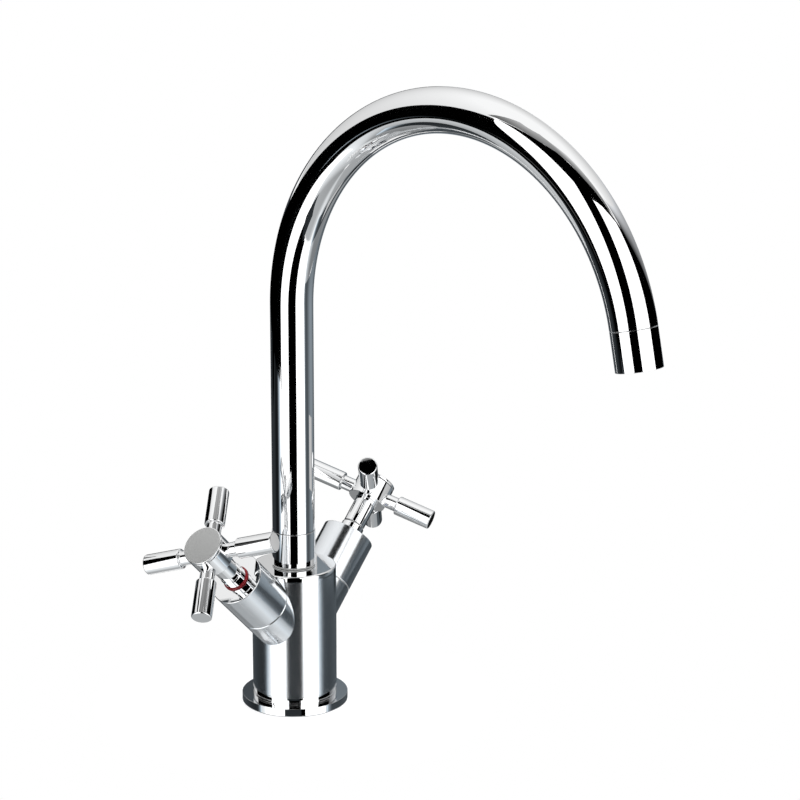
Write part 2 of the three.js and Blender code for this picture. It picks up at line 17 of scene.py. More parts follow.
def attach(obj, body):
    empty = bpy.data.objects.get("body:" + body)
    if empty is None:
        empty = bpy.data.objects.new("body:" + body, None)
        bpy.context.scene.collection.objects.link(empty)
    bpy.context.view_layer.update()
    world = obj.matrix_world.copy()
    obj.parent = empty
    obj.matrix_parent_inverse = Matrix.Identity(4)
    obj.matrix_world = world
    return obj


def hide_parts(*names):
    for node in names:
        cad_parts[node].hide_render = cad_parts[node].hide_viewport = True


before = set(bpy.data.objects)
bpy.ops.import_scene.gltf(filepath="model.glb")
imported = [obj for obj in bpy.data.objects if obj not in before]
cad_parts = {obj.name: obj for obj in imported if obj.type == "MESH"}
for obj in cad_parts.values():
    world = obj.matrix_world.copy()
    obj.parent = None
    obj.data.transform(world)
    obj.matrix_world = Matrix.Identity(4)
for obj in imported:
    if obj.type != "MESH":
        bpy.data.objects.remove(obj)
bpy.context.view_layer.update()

# %% [markdown]
# Every size is written in millimetres, as on a drawing, and turned into metres where a shape is
# made. The names follow the tap from the deck upwards.

# %% Sizes of the tap
MM = 0.001
GAP = 0.3  # left between pieces that bear on each other
OVERCUT = 1.0  # how far a cutter runs past the face that it opens
NEAR = 0.05  # places closer than this count as the same

FLANGE_RADIUS = 31.5
FLANGE_THICKNESS = 5.0
FLANGE_CHAMFER = 0.5
GROOVE_INNER = 21.2
GROOVE_OUTER = 26.3
GROOVE_DEPTH = 1.9
COLLAR_RADIUS = 24.5
COLLAR_TOP = 9.0
COLLAR_STEP = 0.3
COLLAR_STEP_HEIGHT = 1.2
FOOT_RADIUS = 17.0

BODY_RADIUS = 25.0
BODY_TOP = 84.5
BODY_EDGE = 1.2
POLISHED_BAND = 3.3
SOCKET_RADIUS = 9.9
SOCKET_FLOOR = 66.0
INLET_OFFSET = 8.5
INLET_RADIUS = 5.0
INLET_DEPTH = 14.0
STUD_OFFSET = 11.0
STUD_RADIUS = 4.0
STUD_DEPTH = 16.0

VALVE_TILT = 44.0
VALVE_CROSSING = 39.4
BOSS_FACE = 40.0
BOSS_CHAMFER = 0.35
POCKET_RADIUS = 10.0
POCKET_FLOOR = 12.0
SLEEVE_RADIUS = 16.0
SLEEVE_FACE = 72.0
SLEEVE_FACE_THICKNESS = 1.8
SLEEVE_BORE = 14.4
NECK_HOLE = 5.8

SPOUT_TURN = -5.4
TUBE_RADIUS = 12.5
TUBE_WALL = 1.2
FOOT_TOP = 106.0
ARCH_START = 241.0
ARCH_RADIUS = 124.0
ARCH_SWEEP = 168.0

HANDLE_TURNS = {"hot": 23.0, "cold": 26.0}
SIDES = {"hot": -1, "cold": 1}

# %% [markdown]
# ## Turned pieces
#
# Nearly every piece of a tap comes off a lathe. In Blender that is a spin: half of the section is
# drawn as a line of edges, and the line is swept once round the axis. A full spin must merge its
# last step with its first, and the normals are worked out again afterwards, because a spin can
# leave a shape inside out. Real machined edges are never perfectly sharp, so every ring that
# turns a corner then gets a small bevel, which is what catches the light.

# %% Helpers for turned pieces
def corner_rings(bm, least_angle=20.0):
    """The edges where the surface turns a corner."""
    least = math.radians(least_angle)
    return [edge for edge in bm.edges if edge.is_manifold and edge.calc_face_angle() > least]


def soften(bm, edges, offset, segments=3):
    """Rounds edges with a bevel of so many millimetres."""
    bmesh.ops.bevel(
        bm,
        geom=edges,
        offset=offset * MM,
        offset_type="OFFSET",
        segments=segments,
        profile=0.5,
        affect="EDGES",
        clamp_overlap=True,
        material=-1,
    )


def spun(outline, sides=128, edge=0.2):
    """A solid of revolution about Z from (radius, height) points in millimetres.

    An outline that doesn't start on the axis is closed on itself, which leaves a bore.
    """
    bm = bmesh.new()
    corners = [bm.verts.new((radius * MM, 0, height * MM)) for radius, height in outline]
    line = [bm.edges.new(pair) for pair in zip(corners, corners[1:])]
    if outline[0][0] > 0:
        line.append(bm.edges.new((corners[-1], corners[0])))
    bmesh.ops.spin(
        bm,
        geom=corners + line,
        cent=(0, 0, 0),
        axis=(0, 0, 1),
        angle=math.tau,
        steps=sides,
        use_merge=True,
    )
    bmesh.ops.remove_doubles(bm, verts=bm.verts, dist=1e-7)
    bmesh.ops.recalc_face_normals(bm, faces=bm.faces)
    if edge:
        soften(bm, corner_rings(bm), edge)
    return bm


def rod(radius, start, end, sides=96, edge=0.0):
    """A solid round bar along Z."""
    return spun([(0, start), (radius, start), (radius, end), (0, end)], sides, edge)


# %% [markdown]
# A bmesh becomes a piece of the tap in four steps. It is moved to its place, so that the object
# itself stays at the origin. It is shaded smooth, with hard edges only where the surface really
# turns. It is tied to the body that it moves with, and the frame nodes it stands for are hidden.
# The weighted normals keep flat faces truly flat next to their bevels, which a mirror needs.

# %% Helpers that make a piece
def placed(bm, matrix):
    """Moves a shape to its place."""
    bmesh.ops.transform(bm, matrix=matrix, verts=bm.verts)
    return bm


def to_object(name, bm):
    """Makes a shape into an object of the scene."""
    mesh = bpy.data.meshes.new(name)
    bm.to_mesh(mesh)
    bm.free()
    piece = bpy.data.objects.new(name, mesh)
    bpy.context.scene.collection.objects.link(piece)
    return piece


def shade(piece, angle=32.0):
    """Shades a piece smooth, with hard edges where it turns by more than the angle."""
    piece.data.polygons.foreach_set("use_smooth", [True] * len(piece.data.polygons))
    piece.data.set_sharp_from_angle(angle=math.radians(angle))
    even = piece.modifiers.new("even_shading", "WEIGHTED_NORMAL")
    even.keep_sharp = True


def finish_piece(piece, body, slot, materials, nodes):
    """Shades a piece, gives it its materials, ties it to its body, and hides the frame nodes it stands
    for.
    """
    shade(piece)
    for material in materials:
        piece.data.materials.append(material)
    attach(piece, body)
    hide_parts(*nodes)
    print(piece.name, len(piece.data.polygons), "faces")
    return piece


def carve(piece, cutter_bm, operation="DIFFERENCE"):
    """Cuts a solid away from a piece, or joins it on, and keeps the result as the piece's mesh."""
    cutter = to_object("cutter", cutter_bm)
    step = piece.modifiers.new("carve", "BOOLEAN")
    step.operation = operation
    step.solver = "MANIFOLD"
    step.object = cutter
    shape = piece.evaluated_get(bpy.context.evaluated_depsgraph_get())
    result = bpy.data.meshes.new_from_object(shape)
    result.materials.clear()
    piece.modifiers.remove(step)
    piece.data = result
    bpy.data.objects.remove(cutter)


# %% [markdown]
# The valves lean outwards, so each has a frame of its own: Z runs out along the valve's axis, and
# the zero is where that axis crosses the middle of the body. A handle's frame is the valve's,
# turned about its axis. The outlet's frame sits at the end of the tube and points out of it.

# %% Frames of the leaning and hanging pieces
def lean(name):
    """A valve's frame."""
    tilt = Matrix.Rotation(SIDES[name] * math.radians(90 - VALVE_TILT), 4, "Y")
    return Matrix.Translation((0, 0, VALVE_CROSSING * MM)) @ tilt


def handle_frame(name):
    """A handle's frame, turned as the handle stands when its valve is shut."""
    return lean(name) @ Matrix.Rotation(math.radians(HANDLE_TURNS[name]), 4, "Z")


spout_frame = Matrix.Rotation(math.radians(SPOUT_TURN), 4, "Z")


def outlet_frame():
    """The frame at the end of the tube."""
    sweep = math.radians(ARCH_SWEEP)
    reach = ARCH_RADIUS * (1 - math.cos(sweep))
    end = Vector((0, -reach, ARCH_START + ARCH_RADIUS * math.sin(sweep)))
    heading = Vector((0, -math.sin(sweep), math.cos(sweep)))
    facing = Vector((0, 0, 1)).rotation_difference(heading).to_matrix().to_4x4()
    return spout_frame @ Matrix.Translation(end * MM) @ facing


print("outlet at", [round(value, 4) for value in outlet_frame().translation])

# %% [markdown]
# ## Finishes
#
# Chrome plate is a mirror with a slightly cool colour. What makes it look real is small: hand
# polishing leaves the surface a hair's breadth from true, so reflections bend a little, and use
# leaves faint hazy patches where the reflection softens. Both come from noise on Object
# coordinates, at very low strength, so that no pattern can be made out.

# %% Node helpers
def new_material(name):
    """A material with its node tree and its shader."""
    material = bpy.data.materials.new(name)
    material.use_nodes = True
    tree = material.node_tree
    shader = tree.nodes["Principled BSDF"]
    return material, tree, shader


def object_noise(tree, scale, detail, stretch=(1, 1, 1)):
    """Noise that stays with the object."""
    place = tree.nodes.new("ShaderNodeTexCoord")
    mapping = tree.nodes.new("ShaderNodeMapping")
    mapping.inputs["Scale"].default_value = stretch
    noise = tree.nodes.new("ShaderNodeTexNoise")
    noise.inputs["Scale"].default_value = scale
    noise.inputs["Detail"].default_value = detail
    tree.links.new(place.outputs["Object"], mapping.inputs["Vector"])
    tree.links.new(mapping.outputs["Vector"], noise.inputs["Vector"])
    return noise.outputs["Fac"]


def spread(tree, value, low, high, from_low=0.3, from_high=0.7):
    """Stretches a noise value to run from low to high."""
    step = tree.nodes.new("ShaderNodeMapRange")
    step.inputs["From Min"].default_value = from_low
    step.inputs["From Max"].default_value = from_high
    step.inputs["To Min"].default_value = low
    step.inputs["To Max"].default_value = high
    tree.links.new(value, step.inputs["Value"])
    return step.outputs["Result"]


def add_bump(tree, shader, height, strength, distance):
    """Bends the shader's normals by a height."""
    bump = tree.nodes.new("ShaderNodeBump")
    bump.inputs["Strength"].default_value = strength
    bump.inputs["Distance"].default_value = distance
    tree.links.new(height, bump.inputs["Height"])
    tree.links.new(bump.outputs["Normal"], shader.inputs["Normal"])


# %% Polished chrome
def polished_chrome():
    material, tree, shader = new_material("polished_chrome")
    shader.inputs["Base Color"].default_value = (0.93, 0.935, 0.94, 1)
    shader.inputs["Metallic"].default_value = 1.0
    haze = spread(tree, object_noise(tree, 55, 3), 0.02, 0.05)
    tree.links.new(haze, shader.inputs["Roughness"])
    add_bump(tree, shader, object_noise(tree, 40, 1), 0.05, 0.0004)
    return material


# %% [markdown]
# The body, the sleeves and the caps are plated over a finely turned surface. Their reflections
# are the same as the polished ones but soft, and the dark parts lean towards blue. The grain of
# the turning is far too fine to count, so it only shows as a faint streak in the gloss.

# %% Satin chrome
def satin_chrome(name, roughness, colour=(0.86, 0.885, 0.91, 1)):
    material, tree, shader = new_material(name)
    shader.inputs["Base Color"].default_value = colour
    shader.inputs["Metallic"].default_value = 1.0
    grain = spread(tree, object_noise(tree, 900, 2, (1, 1, 6)), roughness * 0.85, roughness * 1.15)
    tree.links.new(grain, shader.inputs["Roughness"])
    add_bump(tree, shader, object_noise(tree, 1500, 2, (1, 1, 8)), 0.06, 0.00005)
    return material


# %% [markdown]
# The pieces inside are seldom seen, but each has its own honest finish: bare machined brass,
# bright spring steel, lapped ceramic, black rubber and moulded plastic.

# %% Finishes of the inner pieces
def plain_finish(name, colour, roughness, metallic=0.0, scale=400, bump=0.1):
    material, tree, shader = new_material(name)
    shader.inputs["Metallic"].default_value = metallic
    mottle = object_noise(tree, scale, 4)
    ramp = tree.nodes.new("ShaderNodeValToRGB")
    ramp.color_ramp.elements[0].position = 0.35
    ramp.color_ramp.elements[1].position = 0.65
    ramp.color_ramp.elements[0].color = tuple(0.88 * value for value in colour) + (1,)
    ramp.color_ramp.elements[1].color = tuple(colour) + (1,)
    tree.links.new(mottle, ramp.inputs["Fac"])
    tree.links.new(ramp.outputs["Color"], shader.inputs["Base Color"])
    rough = spread(tree, mottle, roughness * 0.85, min(1.0, roughness * 1.15))
    tree.links.new(rough, shader.inputs["Roughness"])
    add_bump(tree, shader, mottle, bump, 0.00005)
    return material


mirror = polished_chrome()
satin = satin_chrome("satin_chrome", 0.18)
cap_satin = satin_chrome("cap_satin", 0.34, (0.56, 0.565, 0.56, 1))
brass = plain_finish("machined_brass", (0.72, 0.56, 0.28), 0.3, 1.0)
steel = plain_finish("spring_steel", (0.6, 0.61, 0.63), 0.28, 1.0)
ceramic = plain_finish("lapped_ceramic", (0.9, 0.89, 0.86), 0.22)
rubber = plain_finish("black_rubber", (0.02, 0.02, 0.022), 0.75)
white_plastic = plain_finish("white_plastic", (0.93, 0.93, 0.91), 0.3)
red_plastic = plain_finish("red_plastic", (0.33, 0.012, 0.02), 0.3)
blue_plastic = plain_finish("blue_plastic", (0.012, 0.07, 0.33), 0.3)
print("finishes:", len(bpy.data.materials))

# %% [markdown]
# ## The base
#
# A thick polished ring lies on the deck, with a groove underneath for its rubber seal. Its collar
# carries the body, and a fine step at the collar's foot shows as a bright line.

# %% Base flange
flange = to_object("base_ring", spun([
    (FOOT_RADIUS + GAP, 0),
    (GROOVE_INNER, 0),
    (GROOVE_INNER, GROOVE_DEPTH),
    (GROOVE_OUTER, GROOVE_DEPTH),
    (GROOVE_OUTER, 0),
    (FLANGE_RADIUS - FLANGE_CHAMFER, 0),
    (FLANGE_RADIUS, FLANGE_CHAMFER),
    (FLANGE_RADIUS, FLANGE_THICKNESS),
    (COLLAR_RADIUS + COLLAR_STEP, FLANGE_THICKNESS),
    (COLLAR_RADIUS + COLLAR_STEP, FLANGE_THICKNESS + COLLAR_STEP_HEIGHT),
    (COLLAR_RADIUS, FLANGE_THICKNESS + COLLAR_STEP_HEIGHT),
    (COLLAR_RADIUS, COLLAR_TOP),
    (FOOT_RADIUS + GAP, COLLAR_TOP),
], sides=160, edge=0.45))
finish_piece(flange, "base", "polished_chrome", [mirror], ["base_flange"])

# %% [markdown]
# ## The body
#
# The body is a round column with a boss leaning out on each side. The column and the bosses are
# spun, joined into one casting with boolean steps, and then bored for what the body holds: the
# two valves, the spout, the supply hoses and the fixing stud. The column's top edge is rounded
# before the joining, while its ring of edges is still easy to find.

# %% Mixer body
def body_column():
    bm = spun([
        (0, 0),
        (FOOT_RADIUS, 0),
        (FOOT_RADIUS, COLLAR_TOP + GAP),
        (BODY_RADIUS, COLLAR_TOP + GAP),
        (BODY_RADIUS, BODY_TOP),
        (0, BODY_TOP),
    ], sides=192, edge=0)
    top = (BODY_TOP - NEAR) * MM
    rim = [edge for edge in corner_rings(bm) if min(vert.co.z for vert in edge.verts) > top]
    soften(bm, rim, BODY_EDGE, segments=6)
    return bm


# This cutter faces a boss flat, chamfers its edge and makes room for the sleeve in the column
BOSS_FACING = [
    (0, BOSS_FACE),
    (SLEEVE_RADIUS - BOSS_CHAMFER, BOSS_FACE),
    (SLEEVE_RADIUS + GAP, BOSS_FACE - BOSS_CHAMFER - GAP),
    (SLEEVE_RADIUS + GAP, SLEEVE_FACE),
    (0, SLEEVE_FACE),
]
# Holes in the body's underside: across, forwards or back, radius, depth
UNDERSIDE_HOLES = [
    (-INLET_OFFSET, 0, INLET_RADIUS, INLET_DEPTH),
    (INLET_OFFSET, 0, INLET_RADIUS, INLET_DEPTH),
    (0, STUD_OFFSET, STUD_RADIUS, STUD_DEPTH),
]

body = to_object("mixer_column", body_column())
for name in SIDES:
    carve(body, placed(rod(SLEEVE_RADIUS, 0, BOSS_FACE + OVERCUT, sides=160), lean(name)), "UNION")
for name in SIDES:
    carve(body, placed(spun(BOSS_FACING, sides=160, edge=0), lean(name)))
    carve(body, placed(rod(POCKET_RADIUS, POCKET_FLOOR, BOSS_FACE + OVERCUT), lean(name)))
carve(body, rod(SOCKET_RADIUS, SOCKET_FLOOR, BODY_TOP + OVERCUT))
for x, y, radius, depth in UNDERSIDE_HOLES:
    carve(body, placed(rod(radius, -OVERCUT, depth), Matrix.Translation((x * MM, y * MM, 0))))
print("body bored:", len(body.data.polygons), "faces")

# %% [markdown]
# The satin stops a few millimetres below the top edge: the rim and the top face are polished
# like the spout. The two finishes are two material slots, and each face takes the one that its
# height calls for. A cut across the column at that height gives the change a clean line.

# %% Polished rim of the body
def split_finish(piece, height):
    """Cuts a piece's faces at a height and gives its second material to those above."""
    bm = bmesh.new()
    bm.from_mesh(piece.data)
    everything = bm.verts[:] + bm.edges[:] + bm.faces[:]
    bmesh.ops.bisect_plane(bm, geom=everything, plane_co=(0, 0, height), plane_no=(0, 0, 1))
    for face in bm.faces:
        centre = face.calc_center_median()
        outside = math.hypot(*centre.xy) > (SOCKET_RADIUS + NEAR) * MM
        high = centre.z > height
        face.material_index = 1 if high and outside else 0
    bm.to_mesh(piece.data)
    bm.free()


split_finish(body, (BODY_TOP - POLISHED_BAND) * MM)
finish_piece(body, "base", "satin_chrome", [satin, mirror], ["mixer_body"])

# %% [markdown]
# ## The spout
#
# The foot is one turned piece: a short sleeve that stands on a thin washer, and a tail with three
# grooves that goes down into the body. The tube is a thin ring, pushed straight up for the
# leg and then spun round the arch's centre, which is what a bending machine does to real pipe.

# %% Spout foot
WASHER_THICKNESS = 0.5
SPOUT_BOTTOM = BODY_TOP + GAP + WASHER_THICKNESS + GAP
FOOT_SLEEVE_RADIUS = 12.8
SPIGOT_RADIUS = 11.0
SPIGOT_LENGTH = 8.0
SPOUT_BORE = 6.0
TAIL_RADIUS = 9.6
TAIL_LENGTH = 17.0
TAIL_END = SPOUT_BOTTOM - TAIL_LENGTH
# Two grooves for rubber rings and one for the clip: middle from the tail's end, half width, depth
TAIL_GROOVES = [(4, 1.3, 2.0), (9, 1.3, 2.0), (13.5, 0.9, 1.6)]


def grooved_tail():
    """The tail's outline from its end upwards."""
    points = [(SPOUT_BORE, TAIL_END), (TAIL_RADIUS, TAIL_END)]
    for middle, half, depth in TAIL_GROOVES:
        place = TAIL_END + middle
        points += [
            (TAIL_RADIUS, place - half),
            (TAIL_RADIUS - depth, place - half),
            (TAIL_RADIUS - depth, place + half),
            (TAIL_RADIUS, place + half),
        ]
    return points


foot_outline = grooved_tail() + [
    (TAIL_RADIUS, SPOUT_BOTTOM),
    (FOOT_SLEEVE_RADIUS, SPOUT_BOTTOM),
    (FOOT_SLEEVE_RADIUS, FOOT_TOP),
    (SPIGOT_RADIUS, FOOT_TOP),
    (SPIGOT_RADIUS, FOOT_TOP + SPIGOT_LENGTH),
    (SPOUT_BORE, FOOT_TOP + SPIGOT_LENGTH),
]
foot = to_object("spout_socket", placed(spun(foot_outline, sides=128, edge=0.25), spout_frame))
finish_piece(foot, "spout", "polished_chrome", [mirror], ["spout_foot"])

# %% Swan-neck tube
def swan_neck():
    """Two pipes, one inside the other: a straight leg and then the arch, open at both ends."""
    start = (FOOT_TOP + GAP) * MM
    bm = bmesh.new()
    for radius in (TUBE_RADIUS, TUBE_RADIUS - TUBE_WALL):
        bmesh.ops.create_circle(bm, segments=96, radius=radius * MM)
    bmesh.ops.translate(bm, verts=bm.verts, vec=(0, 0, start))
    leg = bmesh.ops.extrude_edge_only(bm, edges=bm.edges)["geom"]
    top = [item for item in leg if isinstance(item, bmesh.types.BMVert)]
    bmesh.ops.translate(bm, verts=top, vec=(0, 0, ARCH_START * MM - start))
    bmesh.ops.spin(
        bm,
        geom=[item for item in leg if isinstance(item, bmesh.types.BMEdge)],
        cent=(0, -ARCH_RADIUS * MM, ARCH_START * MM),
        axis=(1, 0, 0),
        angle=math.radians(ARCH_SWEEP),
        steps=112,
    )
    return bm


tube_bm = swan_neck()
print("tube height", round(max(vert.co.z for vert in tube_bm.verts), 4))

# %% [markdown]
# A flat ring at each end then joins the outer pipe to the inner one. That closes the wall of the
# tube, and the two ends get the small roundings that a deburred pipe has.

# %% Finish the tube
def closed_tube(bm):
    """Joins the two pipes at both ends and rounds the ends a little."""
    rims = [edge for edge in bm.edges if edge.is_boundary]
    foot = min(vert.co.z for vert in bm.verts) + NEAR * MM
    for at_foot in (True, False):
        ends = [edge for edge in rims if (edge.verts[0].co.z < foot) == at_foot]
        bmesh.ops.bridge_loops(bm, edges=ends)
    bmesh.ops.recalc_face_normals(bm, faces=bm.faces)
    soften(bm, corner_rings(bm, least_angle=40), 0.2)
    return bm


tube = to_object("swan_neck", placed(closed_tube(tube_bm), spout_frame))
finish_piece(tube, "spout", "polished_chrome", [mirror], ["spout_tube"])

# %% [markdown]
# A separate ring closes the end of the spout. Its inner shoulder holds a rubber washer, a drilled
# screen and the insert, a cup whose drilled floor turns the flow into a soft jet.

# %% Outlet ring and insert
OUTLET_LENGTH = 21.5
OUTLET_BORE = 11.2
OUTLET_SHOULDER = 9.1
OUTLET_WATERWAY = 9.5
OUTLET_SPIGOT_RADIUS = 10.8
OUTLET_SPIGOT_LENGTH = 4.0
INSERT_RADIUS = 10.9
INSERT_END = 20.3
INSERT_START = 12.3
INSERT_WALL = 1.0
INSERT_FLOOR = 1.6
JET_RADIUS = 1.1
JET_SPACING = 4.2
JET_RINGS = 3  # the hole in the middle counts as the first

outlet_ring = spun([
    (OUTLET_WATERWAY, -OUTLET_SPIGOT_LENGTH),
    (OUTLET_SPIGOT_RADIUS, -OUTLET_SPIGOT_LENGTH),
    (OUTLET_SPIGOT_RADIUS, GAP),
    (TUBE_RADIUS, GAP),
    (TUBE_RADIUS, OUTLET_LENGTH),
    (OUTLET_BORE, OUTLET_LENGTH),
    (OUTLET_BORE, OUTLET_SHOULDER),
    (OUTLET_WATERWAY, OUTLET_SHOULDER),
], sides=96, edge=0.2)
sleeve = to_object("outlet_ring", placed(outlet_ring, outlet_frame()))
finish_piece(sleeve, "spout", "polished_chrome", [mirror], ["outlet_sleeve"])


def drilled_insert():
    """A cup with one hole in the middle of its floor and rings of six and twelve round it."""
    floor_top = INSERT_END - INSERT_FLOOR
    cup = to_object("outlet_jet", spun([
        (0, floor_top),
        (INSERT_RADIUS - INSERT_WALL, floor_top),
        (INSERT_RADIUS - INSERT_WALL, INSERT_START),
        (INSERT_RADIUS, INSERT_START),
        (INSERT_RADIUS, INSERT_END),
        (0, INSERT_END),
    ], sides=96, edge=0.25))
    for ring in range(JET_RINGS):
        count = max(1, 6 * ring)
        for index in range(count):
            turn = Matrix.Rotation(math.tau * index / count, 4, "Z")
            aside = Matrix.Translation((JET_SPACING * ring * MM, 0, 0))
            drill = rod(JET_RADIUS, floor_top - OVERCUT, INSERT_END + OVERCUT, sides=24)
            carve(cup, placed(drill, turn @ aside))
    cup.data.transform(outlet_frame())
    return cup


finish_piece(drilled_insert(), "spout", "white_plastic", [white_plastic], ["outlet_insert"])

# %% [markdown]
# ## The valves
#
# Each boss carries a sleeve whose flat end is polished like a mirror. On it lies a thin coloured
# ring, red for hot and blue for cold, and a slim polished nut stands on the ring. The sleeve is
# one turned piece with two finishes, so every face takes the finish of the wall it belongs to.

# %% Valve sleeves, index rings and nuts
SLEEVE_OUTLINE = [
    (SLEEVE_BORE, BOSS_FACE + GAP),
    (SLEEVE_RADIUS, BOSS_FACE + GAP),
    (SLEEVE_RADIUS, SLEEVE_FACE),
    (NECK_HOLE, SLEEVE_FACE),
    (NECK_HOLE, SLEEVE_FACE - SLEEVE_FACE_THICKNESS),
    (SLEEVE_BORE, SLEEVE_FACE - SLEEVE_FACE_THICKNESS),
]
RING_RADIUS = 7.8
RING_THICKNESS = 0.5
RING_BOTTOM = SLEEVE_FACE + GAP
RING_TOP = RING_BOTTOM + RING_THICKNESS
INDEX_COLOURS = [("hot", "red_plastic", red_plastic), ("cold", "blue_plastic", blue_plastic)]
RING_OUTLINE = [
    (NECK_HOLE, RING_BOTTOM),
    (RING_RADIUS, RING_BOTTOM),
    (RING_RADIUS, RING_TOP),
    (NECK_HOLE, RING_TOP),
]
NUT_RADIUS = 7.0
NUT_HEIGHT = 5.8
NUT_CHAMFER = 0.7
NUT_BOTTOM = RING_TOP + GAP
NUT_TOP = NUT_BOTTOM + NUT_HEIGHT
NUT_OUTLINE = [
    (NECK_HOLE, NUT_BOTTOM),
    (NUT_RADIUS, NUT_BOTTOM),
    (NUT_RADIUS, NUT_TOP - NUT_CHAMFER),
    (NUT_RADIUS - NUT_CHAMFER, NUT_TOP),
    (NECK_HOLE, NUT_TOP),
]


def valve_sleeve(name):
    """A sleeve with a satin outer wall and polished everywhere else."""
    bm = spun(SLEEVE_OUTLINE, sides=144, edge=0.5)
    for face in bm.faces:
        centre = face.calc_center_median()
        outer_wall = math.hypot(*centre.xy) > (SLEEVE_RADIUS - NEAR) * MM
        face.material_index = 0 if outer_wall else 1
    return to_object(name + "_sleeve", placed(bm, lean(name)))


for name, slot, colour in INDEX_COLOURS:
    sleeve = valve_sleeve(name)
    finish_piece(sleeve, "base", "satin_chrome", [satin, mirror], [name + "_valve_sleeve"])
    ring = to_object(name + "_ring", placed(spun(RING_OUTLINE, edge=0.12), lean(name)))
    finish_piece(ring, "base", slot, [colour], [name + "_index_ring"])
    nut = to_object(name + "_nut", placed(spun(NUT_OUTLINE, edge=0.15), lean(name)))
    finish_piece(nut, "base", "polished_chrome", [mirror], [name + "_bonnet_nut"])

# %% [markdown]
# ## The cross handles
#
# A handle is a hub with a long shank, four round arms with thinner necks, and a full-face cap.
# The arms are all spun from one outline and turned to their places round the hub.

# %% Handles
HUB_RADIUS = 11.8
HUB_BACK = 96.5
HUB_FACE = 111.5
SHANK_RADIUS = 6.6
SPINDLE_BORE = 4.4
SPINDLE_BORE_END = 99.8
SCREW_SEAT = 102.0
SCREW_HOLE = 2.3
CAP_POCKET = 5.7
CAP_THICKNESS = 1.7
CAP_STUB_RADIUS = 5.4
CAP_STUB_LENGTH = 3.0
CAP_LEVEL = 0.02  # a facet of the cap this near its face is flat, and one below belongs to the edge
ARM_COUNT = 4
ARM_PLANE = 102.0
ARM_ROOT = 7.6
ARM_SHOULDER = 18.5
ARM_TIP = 41.5
ARM_RADIUS = 5.85
ARM_NECK_RADIUS = 4.25
ARM_OUTLINE = [
    (0, ARM_ROOT),
    (ARM_NECK_RADIUS, ARM_ROOT),
    (ARM_NECK_RADIUS, ARM_SHOULDER),
    (ARM_RADIUS, ARM_SHOULDER),
    (ARM_RADIUS, ARM_TIP),
    (0, ARM_TIP),
]


def handle_hub(name):
    """A hub and its shank, with the bore for the spindle and the pocket for the screw."""
    shank_bottom = NUT_TOP + GAP
    face = HUB_FACE - CAP_THICKNESS - GAP
    bm = spun([
        (SPINDLE_BORE, shank_bottom),
        (SHANK_RADIUS, shank_bottom),
        (SHANK_RADIUS, HUB_BACK),
        (HUB_RADIUS, HUB_BACK),
        (HUB_RADIUS, face),
        (CAP_POCKET, face),
        (CAP_POCKET, SCREW_SEAT),
        (SCREW_HOLE, SCREW_SEAT),
        (SCREW_HOLE, SPINDLE_BORE_END),
        (SPINDLE_BORE, SPINDLE_BORE_END),
    ], sides=128, edge=0.3)
    return to_object(name + "_hub", placed(bm, handle_frame(name)))


def handle_cap(name):
    """A cover disc with a satin face and a polished edge, on a stub that fits the hub's pocket."""
    bottom = HUB_FACE - CAP_THICKNESS
    bm = spun([
        (0, bottom - CAP_STUB_LENGTH),
        (CAP_STUB_RADIUS, bottom - CAP_STUB_LENGTH),
        (CAP_STUB_RADIUS, bottom),
        (HUB_RADIUS, bottom),
        (HUB_RADIUS, HUB_FACE),
        (0, HUB_FACE),
    ], sides=128, edge=0.4)
    for face in bm.faces:
        flat_top = face.calc_center_median().z > (HUB_FACE - CAP_LEVEL) * MM
        face.material_index = 0 if flat_top else 1
    return to_object(name + "_cap", placed(bm, handle_frame(name)))


def handle_arm(name, index):
    """One arm, laid down from the hub's axis and turned to its place round it."""
    turn = Matrix.Rotation(math.tau * index / ARM_COUNT, 4, "Z")
    outwards = Matrix.Translation((0, 0, ARM_PLANE * MM)) @ Matrix.Rotation(math.tau / 4, 4, "Y")
    bm = placed(spun(ARM_OUTLINE, sides=96, edge=0.7), handle_frame(name) @ turn @ outwards)
    return to_object(name + "_arm_" + str(index + 1), bm)


for name in SIDES:
    moving = name + "_handle"
    finish_piece(handle_hub(name), moving, "polished_chrome", [mirror], [name + "_handle_hub"])
    finish_piece(handle_cap(name), moving, "satin_chrome", [cap_satin, mirror], [name + "_handle_cap"])
    for index in range(ARM_COUNT):
        node = name + "_handle_arm_" + str(index + 1)
        finish_piece(handle_arm(name, index), moving, "polished_chrome", [mirror], [node])

# %% [markdown]
# ## The pieces inside
#
# These nodes stay as the frame has them. Each only takes the finish of what it is made of.

# %% Finish the inner pieces
INNER_FINISHES = {
    "deck_seal": rubber,
    "spout_retaining_ring": steel,
    "swivel_washer": white_plastic,
    "spout_rubber_ring_1": rubber,
    "spout_rubber_ring_2": rubber,
    "outlet_seal": rubber,
    "outlet_screen": steel,
}
for name in SIDES:
    INNER_FINISHES.update({
        name + "_cartridge_body": brass,
        name + "_seat_seal": rubber,
        name + "_seat_disc": ceramic,
        name + "_control_disc": ceramic,
        name + "_spindle": brass,
        name + "_spindle_rubber_ring": rubber,
        name + "_spindle_clip": steel,
        name + "_handle_screw": steel,
    })
for node, material in INNER_FINISHES.items():
    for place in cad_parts[node].material_slots:
        place.material = material
print("inner pieces:", len(INNER_FINISHES))

# %% [markdown]
# ## The camera
#
# The camera stands in front of the tap, to the left of the spout and a little above it, with a
# long lens. Its place was worked out from the outlines of the tap in the picture.

# %% Camera
CAMERA_BEARING = math.radians(-52.75)
CAMERA_PITCH = math.radians(14.803)
CAMERA_ROLL = math.radians(0.162)
CAMERA_PLACE = Vector((-1.03663, -0.86674, 0.54159))

